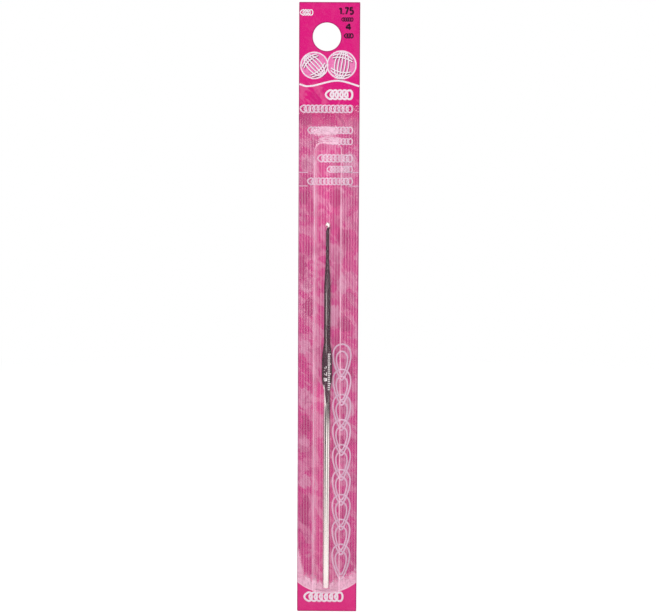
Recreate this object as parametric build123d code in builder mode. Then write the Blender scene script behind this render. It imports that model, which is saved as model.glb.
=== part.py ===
from build123d import *
import os
from math import cos, radians, sin, sqrt, tan

# A steel crochet hook sealed on its hanging card, in millimetres.
#
# Frame: the origin is the centre of the hang hole, midway through the card. +Z runs up the card,
# +X to the right, and the printed front faces -Y. The hook lies in front of the card, tip up, inside
# a tunnel of clear film that is heat-sealed to the card all round it.

# ---- Hook: stations along it are distances from its tip ----
hook_length = 127.0
head_diameter = 1.75
nose_length = 0.95          # rounded point, from the tip to the full head diameter
nose_flat = 0.38            # how blunt the point is at its end
nose_shoulder = 0.45        # where the point's side turns along the axis
head_end = 3.0              # where the head has narrowed to the neck
neck_diameter = 1.15
neck_end = 12.7
shaft_diameter = 2.15
shaft_start = 21.7
thumb_start = 37.6          # where the shaft begins to spread into the thumb rest
thumb_wide_start = 49.0
thumb_wide_end = 52.5
thumb_end = 60.5
thumb_width = 3.5
thumb_thickness = 1.3
thumb_edge_radius = 0.45
thumb_root = 0.2            # how far inside the round wire the spread metal starts
thumb_flat_start = 43.0     # the pressed flats reach full depth between these two stations
thumb_flat_end = 55.0
flat_run_out_top = 5.0      # lengths over which each flat slopes out to the round wire
flat_run_out_bottom = 8.5
handle_diameter = 2.25
handle_end_radius = 0.45

throat_width = 0.52         # across the rounded root that a strand of thread sits in
throat_depth = 0.95         # from the head's left side to the throat's root
throat_root = 1.45          # station of the root's centre
barb_lean = 33.0            # degrees between the barb's underside and the hook's axis
throat_floor_lean = 19.0    # degrees between the throat's floor and the hook's axis

# ---- Card ----
card_thickness = 0.45
card_width = 20.6
card_corner_radius = 0.5
card_bottom_margin = 6.5    # from the film's lowest point to the card's bottom edge
hang_hole_diameter = 9.525
hang_hole_to_top = 11.6     # from the hole's centre to the card's top edge
hang_hole_offset = 0.9      # the hole sits this far left of the card's centreline

# ---- Film and its heat seals ----
film_thickness = 0.25
film_edge_margin = 0.15     # card left bare outside the film on each long side
hang_hole_to_film = 23.0
top_seal_length = 12.5      # from the film's top edge to the tunnel's foot
bottom_seal_length = 6.0    # how far the bottom seal reaches up beside the tunnel
film_lip = 0.3              # least width of seal under the tunnel's bottom corners
film_edge_bow = 3.8         # height of the curve along the film's bottom edge
seal_thickness = 0.08
tunnel_offset = 0.3         # the tunnel sits this far left of the card's centreline
tunnel_side_lean = 50.0     # degrees the walls lean away from square to the card
tunnel_top_lean = 50.0
tunnel_bottom_lean = 12.0
crest_radius = 0.6

# ---- Clearances ----
hook_clearance = 0.15       # hook to card behind it and to film in front of it
thumb_side_clearance = 0.3  # thumb rest to the tunnel's walls, measured across the card
hook_end_clearance = 0.2    # hook to the tunnel's ends, at both ends of its travel
slide_travel = 23.3         # the hook can be pushed this far up its tunnel

# ---- Worked out from the sizes above: heights are measured forward from the card's face ----
handle_radius = handle_diameter / 2
axis_height = hook_clearance + handle_radius
thumb_front_height = axis_height + thumb_thickness / 2
tunnel_height = axis_height + handle_radius + hook_clearance
wall_height = tunnel_height - seal_thickness

card_center_x = hang_hole_offset
tunnel_x = card_center_x - tunnel_offset
foot_half_width = (
    thumb_width / 2
    + thumb_side_clearance
    + (thumb_front_height - seal_thickness) * tan(radians(tunnel_side_lean))
)
crest_half_width = foot_half_width - wall_height * tan(radians(tunnel_side_lean))
side_wall_run = film_thickness / cos(radians(tunnel_side_lean))
top_wall_run = film_thickness / cos(radians(tunnel_top_lean))
bottom_wall_run = film_thickness / cos(radians(tunnel_bottom_lean))

film_top = -hang_hole_to_film
tunnel_top = film_top - top_seal_length
foot_top = tunnel_top - top_wall_run
crest_top = foot_top - wall_height * tan(radians(tunnel_top_lean))
hook_tip = crest_top - hook_end_clearance - slide_travel
hook_bottom = hook_tip - hook_length
crest_bottom = hook_bottom - hook_end_clearance
foot_bottom = crest_bottom - wall_height * tan(radians(tunnel_bottom_lean))
tunnel_bottom = foot_bottom - bottom_wall_run

film_half_width = card_width / 2 - film_edge_margin
bow_radius = (film_half_width**2 + film_edge_bow**2) / (2 * film_edge_bow)
bow_reach = foot_half_width + side_wall_run + tunnel_offset
film_bottom = tunnel_bottom - film_lip - (bow_radius - sqrt(bow_radius**2 - bow_reach**2))
bow_start = film_bottom + film_edge_bow
film_left = card_center_x - film_half_width
film_right = card_center_x + film_half_width
bottom_seal_top = foot_bottom + bottom_seal_length
card_top = hang_hole_to_top
card_bottom = film_bottom - card_bottom_margin

# Planes facing forward: the sketch's x is the card's x and its y is the card's z
card_back = Plane.XZ.offset(-card_thickness / 2)
card_front = Plane.XZ.offset(card_thickness / 2)
seal_front = card_front.offset(seal_thickness)
tunnel_inner_crest = card_front.offset(tunnel_height)
tunnel_outer_crest = tunnel_inner_crest.offset(film_thickness)

# The hook's own planes, with their origin on its axis at the tip
hook_y = -(card_thickness / 2 + axis_height)
hook_origin = (tunnel_x, hook_y, hook_tip)
hook_front = Plane(origin=hook_origin, x_dir=(1, 0, 0), z_dir=(0, -1, 0))
hook_side = Plane(origin=hook_origin, x_dir=(0, 1, 0), z_dir=(1, 0, 0))


# ---- Shared outlines of the film, drawn on the card's face ----
with BuildSketch(card_front) as film_outline:
    with BuildLine():
        Polyline(
            (film_left, bow_start), (film_left, film_top), (film_right, film_top), (film_right, bow_start)
        )
        ThreePointArc((film_right, bow_start), (card_center_x, film_bottom), (film_left, bow_start))
    make_face()

with BuildSketch(card_front) as tunnel_foot:
    with Locations((tunnel_x, (foot_top + foot_bottom) / 2)):
        Rectangle(2 * foot_half_width, foot_top - foot_bottom)


def tunnel_section(plane, half_width, top, bottom):
    """Rectangle across the tunnel at one height, for lofting a wall between two of them."""
    with BuildSketch(plane) as section:
        with Locations((tunnel_x, (top + bottom) / 2)):
            Rectangle(2 * half_width, top - bottom)
    return section.sketch


# ---- Card: printed board with its hang hole ----
with BuildPart() as card:
    with BuildSketch(card_back):
        with Locations((card_center_x, (card_top + card_bottom) / 2)):
            RectangleRounded(card_width, card_top - card_bottom, card_corner_radius)
        Circle(hang_hole_diameter / 2, mode=Mode.SUBTRACT)
    extrude(amount=card_thickness)
card.part.label = "card"


# ---- Film cover: flat sealed margin and the raised tunnel, open only to the card ----
with BuildPart() as film_cover:
    outer_foot = tunnel_section(
        seal_front, foot_half_width + side_wall_run, tunnel_top, tunnel_bottom
    )
    outer_crest = tunnel_section(
        tunnel_outer_crest,
        crest_half_width + side_wall_run - film_thickness * tan(radians(tunnel_side_lean)),
        crest_top + top_wall_run - film_thickness * tan(radians(tunnel_top_lean)),
        crest_bottom - bottom_wall_run + film_thickness * tan(radians(tunnel_bottom_lean)),
    )
    loft([outer_foot, outer_crest])
    fillet(film_cover.faces().sort_by(Axis.Y).first.edges(), crest_radius)
    with BuildSketch(seal_front):
        add(film_outline.sketch_local)
    extrude(amount=film_thickness)
    inner_foot = tunnel_section(seal_front, foot_half_width, foot_top, foot_bottom)
    inner_crest = tunnel_section(tunnel_inner_crest, crest_half_width, crest_top, crest_bottom)
    loft([inner_foot, inner_crest], mode=Mode.SUBTRACT)
film_cover.part.label = "film_cover"


# ---- Heat seals: thin bands between film and card, all round the tunnel ----
seal_bands = {
    "top_seal": (film_left, film_right, foot_top, film_top),
    "bottom_seal": (film_left, film_right, film_bottom, bottom_seal_top),
    "left_seal": (film_left, tunnel_x, bottom_seal_top, foot_top),
    "right_seal": (tunnel_x, film_right, bottom_seal_top, foot_top),
}
seals = {}
for seal_name, (band_left, band_right, band_bottom, band_top) in seal_bands.items():
    with BuildPart() as seal:
        with BuildSketch(card_front):
            add(film_outline.sketch_local)
            add(tunnel_foot.sketch_local, mode=Mode.SUBTRACT)
            with Locations(((band_left + band_right) / 2, (band_bottom + band_top) / 2)):
                Rectangle(band_right - band_left, band_top - band_bottom, mode=Mode.INTERSECT)
        extrude(amount=seal_thickness)
    seal.part.label = seal_name
    seals[seal_name] = seal.part


# ---- Hook: one steel wire, round along its length and pressed flat at the thumb rest ----
head_radius = head_diameter / 2
neck_radius = neck_diameter / 2
shaft_radius = shaft_diameter / 2
hook_axis = Axis(hook_origin, (0, 0, 1))

# The metal that the press spreads sideways, rooted inside the round wire at both ends
with BuildPart() as thumb_spread:
    with BuildSketch(hook_front):
        with BuildLine():
            spread_start = (shaft_radius - thumb_root, -thumb_start)
            spread_end = (handle_radius - thumb_root, -thumb_end)
            widest_start = (thumb_width / 2, -thumb_wide_start)
            widest_end = (thumb_width / 2, -thumb_wide_end)
            middle_start = -(thumb_start + thumb_wide_start) / 2
            middle_end = -(thumb_wide_end + thumb_end) / 2
            Line((0, -thumb_start), spread_start)
            Bezier(
                spread_start, (spread_start[0], middle_start), (widest_start[0], middle_start), widest_start
            )
            Line(widest_start, widest_end)
            Bezier(widest_end, (widest_end[0], middle_end), (spread_end[0], middle_end), spread_end)
            Line(spread_end, (0, -thumb_end))
            mirror(about=Plane.YZ)
        make_face()
    extrude(amount=thumb_thickness / 2, both=True)
    spread_rims = thumb_spread.faces().filter_by(Axis.Y).edges().filter_by(Axis.X, reverse=True)
    fillet(spread_rims, thumb_edge_radius)

with BuildPart() as hook:
    # Round wire: head, neck, shaft and handle in one turned profile
    with BuildSketch(hook_front):
        with BuildLine():
            blend = (head_end - nose_length) / 2
            Bezier(
                (0, 0),
                (nose_flat, 0),
                (head_radius, -nose_shoulder),
                (head_radius, -nose_length),
            )
            Bezier(
                (head_radius, -nose_length),
                (head_radius, -nose_length - blend),
                (neck_radius, -head_end + blend),
                (neck_radius, -head_end),
            )
            Polyline(
                (neck_radius, -head_end),
                (neck_radius, -neck_end),
                (shaft_radius, -shaft_start),
                (shaft_radius, -thumb_wide_start),
                (handle_radius, -thumb_wide_end),
                (handle_radius, -hook_length + handle_end_radius),
            )
            end_rim = handle_radius - handle_end_radius
            RadiusArc(
                (handle_radius, -hook_length + handle_end_radius),
                (end_rim, -hook_length),
                handle_end_radius,
            )
            Polyline((end_rim, -hook_length), (0, -hook_length), (0, 0))
        make_face()
    revolve(axis=hook_axis)

    # Pressed flats, front and back, each sloping out to the round wire at both ends
    for facing in (1, -1):
        flat = facing * thumb_thickness / 2
        run_out = facing * handle_radius
        beyond = facing * handle_diameter
        with BuildSketch(hook_side):
            with BuildLine():
                Polyline(
                    (flat, -thumb_flat_start),
                    (flat, -thumb_flat_end),
                    (run_out, -thumb_flat_end - flat_run_out_bottom),
                    (beyond, -thumb_flat_end - flat_run_out_bottom),
                    (beyond, -thumb_flat_start + flat_run_out_top),
                    (run_out, -thumb_flat_start + flat_run_out_top),
                    close=True,
                )
            make_face()
        extrude(amount=thumb_width, both=True, mode=Mode.SUBTRACT)
    add(thumb_spread.part)

    # Throat: cut in from the left side, its root round, its mouth wider, leaving the barb above it
    root_radius = throat_width / 2
    root_x = throat_depth - root_radius - head_radius
    barb_sin, barb_cos = sin(radians(barb_lean)), cos(radians(barb_lean))
    floor_sin, floor_cos = sin(radians(throat_floor_lean)), cos(radians(throat_floor_lean))
    barb_side = (root_x - root_radius * barb_cos, -throat_root + root_radius * barb_sin)
    floor_side = (root_x + root_radius * floor_cos, -throat_root - root_radius * floor_sin)
    cut_length = 2 * head_diameter
    with BuildSketch(hook_front):
        with Locations((root_x, -throat_root)):
            Circle(root_radius)
        with BuildLine():
            Polyline(
                (root_x, -throat_root),
                barb_side,
                (barb_side[0] - cut_length * barb_sin, barb_side[1] - cut_length * barb_cos),
                (floor_side[0] - cut_length * floor_sin, floor_side[1] - cut_length * floor_cos),
                floor_side,
                close=True,
            )
        make_face()
    extrude(amount=head_diameter, both=True, mode=Mode.SUBTRACT)
hook.part.label = "hook"


# ---- Write one STEP file for each piece ----
os.makedirs("parts", exist_ok=True)
export_step(card.part, "parts/card.step")
export_step(film_cover.part, "parts/film_cover.step")
export_step(hook.part, "parts/hook.step")
for seal_name, seal_part in seals.items():
    export_step(seal_part, f"parts/{seal_name}.step")

print(f"card: {card_width:.2f} wide, {card_top:.2f} to {card_bottom:.2f}")
print(f"hook: tip {hook_tip:.2f}, bottom {hook_bottom:.2f}, axis x {tunnel_x:.2f}, y {hook_y:.3f}")
print(f"tunnel: foot {foot_top:.2f} to {foot_bottom:.2f}, half width {foot_half_width:.2f}, "
      f"crest half width {crest_half_width:.2f}, height {tunnel_height:.2f}")
print(f"film: {film_top:.2f} to {film_bottom:.2f}")
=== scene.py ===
"""A steel crochet hook sealed on its hanging card: looks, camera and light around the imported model."""

import math

import bmesh
import bpy
from bpy.props import FloatProperty, FloatVectorProperty, IntProperty, PointerProperty
from mathutils import Matrix, Vector, noise


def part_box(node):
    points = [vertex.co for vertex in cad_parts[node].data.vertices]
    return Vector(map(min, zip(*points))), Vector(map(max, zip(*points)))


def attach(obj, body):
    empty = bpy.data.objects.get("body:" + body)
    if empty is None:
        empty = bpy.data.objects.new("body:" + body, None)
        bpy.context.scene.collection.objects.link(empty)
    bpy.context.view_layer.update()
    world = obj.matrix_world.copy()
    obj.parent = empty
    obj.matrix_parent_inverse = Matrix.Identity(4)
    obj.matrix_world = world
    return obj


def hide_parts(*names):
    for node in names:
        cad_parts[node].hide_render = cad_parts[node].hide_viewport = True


bl_info = {
    "name": "Carded crochet hook",
    "version": (1, 0, 0),
    "blender": (4, 5, 0),
    "location": "View3D > Sidebar > Hook card",
    "description": "Builds a steel crochet hook in its film tunnel on a printed hanging card",
    "category": "Add Mesh",
}

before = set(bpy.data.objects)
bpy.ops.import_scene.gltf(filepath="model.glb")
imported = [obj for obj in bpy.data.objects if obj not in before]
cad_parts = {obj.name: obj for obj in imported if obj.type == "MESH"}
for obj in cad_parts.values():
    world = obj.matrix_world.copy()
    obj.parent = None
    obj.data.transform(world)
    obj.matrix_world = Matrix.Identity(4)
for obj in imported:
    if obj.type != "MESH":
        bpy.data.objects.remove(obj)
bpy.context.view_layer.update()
card_low, card_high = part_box("card")
film_low, film_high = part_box("film_cover")
hook_low, hook_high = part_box("hook")

MM = 0.001
PACK = "pack"
HOOK = "hook"
HOOK_X = (hook_low.x + hook_high.x) / 2
HOOK_Y = (hook_low.y + hook_high.y) / 2
DRAWING_TO_CARD = Matrix.Rotation(math.radians(90), 4, "X")
SEAL_BOXES = {name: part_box(name) for name in ("top_seal", "bottom_seal", "left_seal", "right_seal")}


def srgb(red, green, blue):
    """A colour given as 0 to 255 on a screen, as linear values."""
    return tuple(
        c / 12.92 if c <= 0.04045 else ((c + 0.055) / 1.055) ** 2.4
        for c in (red / 255, green / 255, blue / 255)
    )


def length(name, text, millimetres):
    return FloatProperty(
        name=name, description=text, default=millimetres * MM, min=0.0, precision=6, unit="LENGTH",
        subtype="DISTANCE",
    )


def tint(name, text, *screen_colour):
    return FloatVectorProperty(
        name=name, description=text, default=srgb(*screen_colour), min=0.0, max=1.0, size=3, subtype="COLOR"
    )


def turn(name, text, degrees):
    return FloatProperty(name=name, description=text, default=math.radians(degrees), subtype="ANGLE")


def amount(name, text, value, low=0.0, high=1.0):
    return FloatProperty(name=name, description=text, default=value, min=low, max=high)


# ---- Sizes and colours ----
class HookSizes(bpy.types.PropertyGroup):
    """Stations along the hook are distances from its tip."""

    head_diameter: length("Head diameter", "Widest part of the head", 1.75)
    nose_length: length("Nose length", "From the tip to the head's full diameter", 0.95)
    nose_flat: length("Nose flat", "Bluntness of the point", 0.38)
    nose_shoulder: length("Nose shoulder", "Where the point's side turns along the axis", 0.45)
    head_end: length("Head end", "Where the head has narrowed to the neck", 3.0)
    neck_diameter: length("Neck diameter", "Diameter below the head", 1.15)
    neck_end: length("Neck end", "Where the neck starts to widen", 12.7)
    shaft_diameter: length("Shaft diameter", "Diameter above the thumb rest", 2.15)
    shaft_start: length("Shaft start", "Where the shaft has its full diameter", 21.7)
    thumb_start: length("Thumb rest start", "Where the wire begins to spread", 37.6)
    thumb_wide_start: length("Wide part start", "Upper end of the thumb rest's full width", 49.0)
    thumb_wide_end: length("Wide part end", "Lower end of the thumb rest's full width", 52.5)
    thumb_end: length("Thumb rest end", "Where the spread has run back into the handle", 60.5)
    thumb_width: length("Thumb rest width", "Across the pressed flats", 3.5)
    thumb_thickness: length("Thumb rest thickness", "Between the pressed flats", 1.3)
    thumb_edge_radius: length("Thumb rest edge", "Rounding along the pressed edges", 0.45)
    flat_start: length("Flat start", "Upper end of the flats at full depth", 43.0)
    flat_end: length("Flat end", "Lower end of the flats at full depth", 55.0)
    flat_run_out_top: length("Upper run-out", "Slope from the shaft down to each flat", 5.0)
    flat_run_out_bottom: length("Lower run-out", "Slope from each flat out to the handle", 8.5)
    handle_diameter: length("Handle diameter", "Diameter below the thumb rest", 2.25)
    handle_end_radius: length("Handle end radius", "Rounding of the lower end", 0.45)
    throat_width: length("Throat width", "Across the rounded root of the throat", 0.52)
    throat_depth: length("Throat depth", "From the head's side to the throat's root", 0.95)
    throat_root: length("Throat root", "Station of the throat's root", 1.45)
    barb_lean: turn("Barb lean", "Between the barb's underside and the axis", 33)
    floor_lean: turn("Throat floor lean", "Between the throat's floor and the axis", 19)
    sides: IntProperty(name="Sides", description="Faces round the wire", default=72, min=16, max=256)
    bright: tint("Bright plating", "Plating on the handle", 252, 242, 238)
    # Painted dark reflection: the colour put on the neck, shaft, thumb rest and handle sides in place of the
    # dark surroundings they mirror
    dark: tint("Dark plating", "Toned plating on the neck, shaft and thumb rest", 52, 32, 42)
    mark: tint("Stamped marks", "Bare metal in the stamped marks", 246, 240, 240)


class CardLooks(bpy.types.PropertyGroup):
    """Print and board of the hanging card."""

    hang_hole: length("Hang hole", "Diameter of the hang hole", 9.525)
    corner_radius: length("Corner radius", "Rounding of the card's corners", 0.3)
    edge_radius: length("Edge radius", "Rounding of the cut edge", 0.05)
    ink_thickness: length("Ink thickness", "Height of raised ink on the board", 0.012)
    ground: tint("Ground", "Solid print round the hang hole and along the bottom", 226, 12, 126)
    field: tint("Field", "Print under the film", 234, 58, 147)
    petal: tint("Petals", "Pale petals in the print", 255, 206, 232)
    shade: tint("Shade", "Deeper patches in the print", 204, 30, 121)
    # Painted shade: the colour of the darker rim put along the card's cut edges and round the hang hole
    cut: tint("Cut rim", "Print darkened along the cut", 140, 18, 96)
    board: tint("Board", "Cut edge and back of the board", 226, 221, 212)
    white_ink: tint("White ink", "Strand and stitch rows", 255, 240, 250)
    veiled_ink: tint("Veiled ink", "Stitch rows under the film", 255, 214, 236)
    pale_ink: tint("Pale ink", "Yarn balls", 240, 112, 180)
    shadow_ink: tint("Shadow ink", "Shadow printed under the yarn strands", 150, 14, 92)
    line_ink: tint("Line ink", "Outlined stitches beside the handle", 255, 208, 236)
    dark_ink: tint("Dark ink", "Size numbers", 54, 4, 40)


class FilmLooks(bpy.types.PropertyGroup):
    """Clear film over the hook and the heat seals that hold it."""

    foot_half_width: length("Foot half width", "Outside of the tunnel's foot from its centreline", 4.639)
    wall: length("Wall", "Film thickness", 0.25)
    crest_height: length("Crest height", "Outside of the crest above the seal", 2.72)
    side_lean: turn("Side lean", "Side walls, away from square to the card", 50)
    top_lean: turn("Top lean", "Top wall, away from square to the card", 50)
    bottom_lean: turn("Bottom lean", "Bottom wall, away from square to the card", 12)
    top_seal_length: length("Top seal length", "From the film's top edge to the tunnel", 12.5)
    bottom_gap: length("Bottom gap", "From the tunnel's foot down to the film's lowest point", 1.107)
    edge_bow: length("Edge bow", "Height of the curve along the bottom edge", 3.8)
    corner: length("Corner", "Rounding of the tunnel's upper corners", 3.0)
    crease: length("Crease", "Rounding along the film's folds", 0.14)
    rib_pitch: length("Rib pitch", "Between the fine ribs down the film", 0.93)
    milk: tint("Milk", "Haze in the film", 255, 196, 222)
    frost: tint("Frost", "Whitened film in the seals", 255, 216, 236)
    film_haze: amount("Film haze", "Cover of the haze in each face of the film", 0.014)
    seal_haze: amount("Seal haze", "Cover of the haze in each face of the seals", 0.006)


class StageSizes(bpy.types.PropertyGroup):
    """Camera, lamps and floor."""

    target: FloatVectorProperty(
        name="Target", description="Point that the camera looks at", default=(0.00134, 0.0, -0.09164),
        subtype="XYZ", unit="LENGTH",
    )
    distance: length("Distance", "From the target to the camera", 659.7)
    elevation: turn("Elevation", "Camera above the horizon", 5.8)
    azimuth: turn("Azimuth", "Camera to the right of square on", 0.28)
    roll: turn("Roll", "Camera turned about its own axis", 0.3)
    lens: FloatProperty(name="Lens", description="Focal length in millimetres", default=105.3, min=10)
    floor_gap: length("Floor gap", "From the card's lowest edge to the floor", 0.4)
    floor_half_width: length("Floor half width", "Half the side of the floor", 3000)
    key_power: FloatProperty(name="Key power", description="Watts of the key lamp", default=2.9, min=0)
    fill_power: FloatProperty(name="Fill power", description="Watts of the fill lamp", default=2.25, min=0)
    rear_power: FloatProperty(name="Rear power", description="Watts of the rear lamp", default=2.4, min=0)
    ambient: amount("Ambient", "Brightness of the surroundings on matt surfaces", 0.42)


# ---- Node trees ----
class Value:
    """An output socket. Arithmetic on it adds Math nodes to its tree."""

    def __init__(self, tree, socket):
        self.tree = tree
        self.socket = socket

    def math(self, operation, *others):
        inputs = dict(enumerate((self, *others)))
        return self.tree.add("ShaderNodeMath", {"operation": operation}, inputs)

    def __add__(self, other):
        return self.math("ADD", other)

    __radd__ = __add__

    def __sub__(self, other):
        return self.math("SUBTRACT", other)

    def __rsub__(self, other):
        return self.math("MULTIPLY_ADD", -1.0, other)

    def __mul__(self, other):
        return self.math("MULTIPLY", other)

    __rmul__ = __mul__

    def __truediv__(self, other):
        return self.math("DIVIDE", other)

    def __getitem__(self, name):
        """Another output of the same node."""
        return Value(self.tree, self.socket.node.outputs[name])

    def parts(self):
        """The X, Y and Z of a vector."""
        return self.tree.add("ShaderNodeSeparateXYZ", None, {0: self})


class Tree:
    """A node tree being built. Every node that isn't plain arithmetic comes from add()."""

    def __init__(self, tree):
        self.tree = tree

    def add(self, kind, settings=None, inputs=None, out=0):
        """Adds a node: its settings first, then the values or links of its sockets."""
        node = self.tree.nodes.new(kind)
        for name, value in (settings or {}).items():
            if name == "stops":
                ramp = node.color_ramp.elements
                for index, (place, colour) in enumerate(value):
                    stop = ramp[index] if index < 2 else ramp.new(place)
                    stop.position = place
                    stop.color = colour
            else:
                setattr(node, name, value)
        for name, value in (inputs or {}).items():
            socket = node.inputs[name]
            for one in value if isinstance(value, list) else (value,):
                self.fill(socket, one)
        outputs = [o for o in node.outputs if o.enabled]
        if not outputs:
            return None
        return Value(self, node.outputs[out] if isinstance(out, str) else outputs[out])

    def fill(self, socket, value):
        """Links a socket to a value of the tree, or sets it to a plain one."""
        if isinstance(value, Value):
            self.tree.links.new(value.socket, socket)
        else:
            socket.default_value = value

    def mix(self, factor, first, second):
        """Two colours, mixed."""
        sockets = {"Factor_Float": factor, "A_Color": rgba(first), "B_Color": rgba(second)}
        node = self.tree.nodes.new("ShaderNodeMix")
        node.data_type = "RGBA"
        node.clamp_result = True
        for socket in node.inputs:
            if socket.identifier in sockets:
                self.fill(socket, sockets[socket.identifier])
        return Value(self, next(o for o in node.outputs if o.identifier == "Result_Color"))

    def smooth(self, value, low, high, low_value=0.0, high_value=1.0):
        """A value eased from low_value at low to high_value at high."""
        return self.add(
            "ShaderNodeMapRange",
            {"interpolation_type": "SMOOTHSTEP"},
            {"Value": value, "From Min": low, "From Max": high, "To Min": low_value, "To Max": high_value},
        )

    def band(self, value, centre, half_width, edge):
        """1 within half_width of centre, falling to 0 over edge."""
        return self.smooth((value - centre).math("ABSOLUTE"), half_width, half_width + edge, 1.0, 0.0)

    def noise(self, vector, scale, detail=2.0, roughness=0.5, distortion=0.0):
        return self.add(
            "ShaderNodeTexNoise",
            {"noise_dimensions": "3D"},
            {"Vector": vector, "Scale": scale, "Detail": detail, "Roughness": roughness,
             "Distortion": distortion},
        )

    def streaks(self, vector, scale, degrees, detail, roughness=0.5, distortion=0.0):
        """Noise over coordinates that are turned in the card's plane, then scaled along each axis."""
        turned = self.add(
            "ShaderNodeMapping", {"vector_type": "POINT"},
            {"Vector": vector, "Rotation": (0.0, math.radians(degrees), 0.0)},
        )
        scaled = self.add("ShaderNodeVectorMath", {"operation": "MULTIPLY"}, {0: turned, 1: scale})
        return self.noise(scaled, 1.0, detail, roughness, distortion)

    def millimetres(self):
        """Object coordinates in millimetres, as a vector and as three values."""
        place = self.add("ShaderNodeTexCoord", out="Object")
        scaled = self.add("ShaderNodeVectorMath", {"operation": "SCALE"}, {0: place, "Scale": 1 / MM})
        parts = scaled.parts()
        return scaled, parts["X"], parts["Y"], parts["Z"]


def rgba(colour):
    return colour if isinstance(colour, Value) else (*colour[:3], 1.0)


def larger(first, second):
    return first.math("MAXIMUM", second)


def smaller(first, second):
    return first.math("MINIMUM", second)


def new_material(name):
    """An empty node material and its tree."""
    material = bpy.data.materials.new(name)
    material.use_nodes = True
    material.node_tree.nodes.clear()
    return material, Tree(material.node_tree)


def surface(tree, shader):
    tree.add("ShaderNodeOutputMaterial", None, {"Surface": shader})


def principled(tree, inputs):
    """Ends a material in a Principled shader."""
    surface(tree, tree.add("ShaderNodeBsdfPrincipled", None, inputs))


def bump(tree, height, strength, distance):
    return tree.add("ShaderNodeBump", None, {"Height": height, "Strength": strength, "Distance": distance})


# ---- Finishes ----
# Soft patches in the print, in millimetres: place across and up the card, half width, half height
PETALS = (
    (-6.0, -42.5, 2.6, 3.0), (8.2, -42.0, 2.0, 3.4), (3.6, -73.6, 2.4, 3.4), (-6.4, -84.6, 1.8, 2.8),
    (3.0, -94.6, 2.2, 3.6), (-7.2, -105.4, 1.9, 2.6), (-6.8, -123.4, 2.4, 3.4), (7.9, -126.6, 2.2, 4.0),
    (-7.4, -139.2, 2.0, 3.0), (-7.0, -152.8, 2.1, 2.6), (5.6, -84.0, 1.6, 4.0),
)
DEEP_PATCHES = (
    (-7.4, -54.2, 1.9, 2.4), (3.4, -54.4, 2.4, 3.2), (5.8, -67.6, 2.0, 3.0), (-8.0, -78.0, 1.6, 4.0),
    (-5.6, -91.8, 2.0, 3.2), (6.6, -97.6, 2.4, 2.6), (-6.6, -132.2, 1.8, 3.2), (-6.8, -162.6, 2.0, 5.0),
    (-7.0, -27.5, 2.6, 2.4), (8.0, -114.0, 2.0, 3.0), (4.6, -140.0, 2.4, 5.0),
)
FROST_ABOVE_TUNNEL = ((-0.4, -31.8, 5.0, 1.7), (1.4, -34.8, 4.2, 1.4))

# Pitches in millimetres, and where the film's ribs start in their wave
PRINT_LINE_PITCH = 0.93
PLY_PITCH = 0.11
RIB_PHASE = 0.9

# Small tints inside the finishes
PULP_FLECK = srgb(186, 178, 166)
PALE_FIBRE = srgb(240, 237, 230)
PLY_LINE = srgb(160, 150, 138)
DRAWING_LINE = srgb(150, 138, 138)
GRIT = srgb(150, 140, 142)


def wave(distance, pitch, phase=0.0):
    """From -1 to 1 and back once every pitch."""
    turns = distance * (2 * math.pi / pitch)
    return (turns + phase if phase else turns).math("SINE")


def patches(tree, x, z, ragged, places):
    """1 inside any of the patches, with torn edges."""
    whole = 0.0
    for across, up, half_width, half_height in places:
        sideways, upward = (x - across) / half_width, (z - up) / half_height
        reach = sideways * sideways + upward * upward + ragged
        inside = tree.smooth(reach, 1.25, 0.75)
        whole = larger(inside, whole)
    return whole


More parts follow.
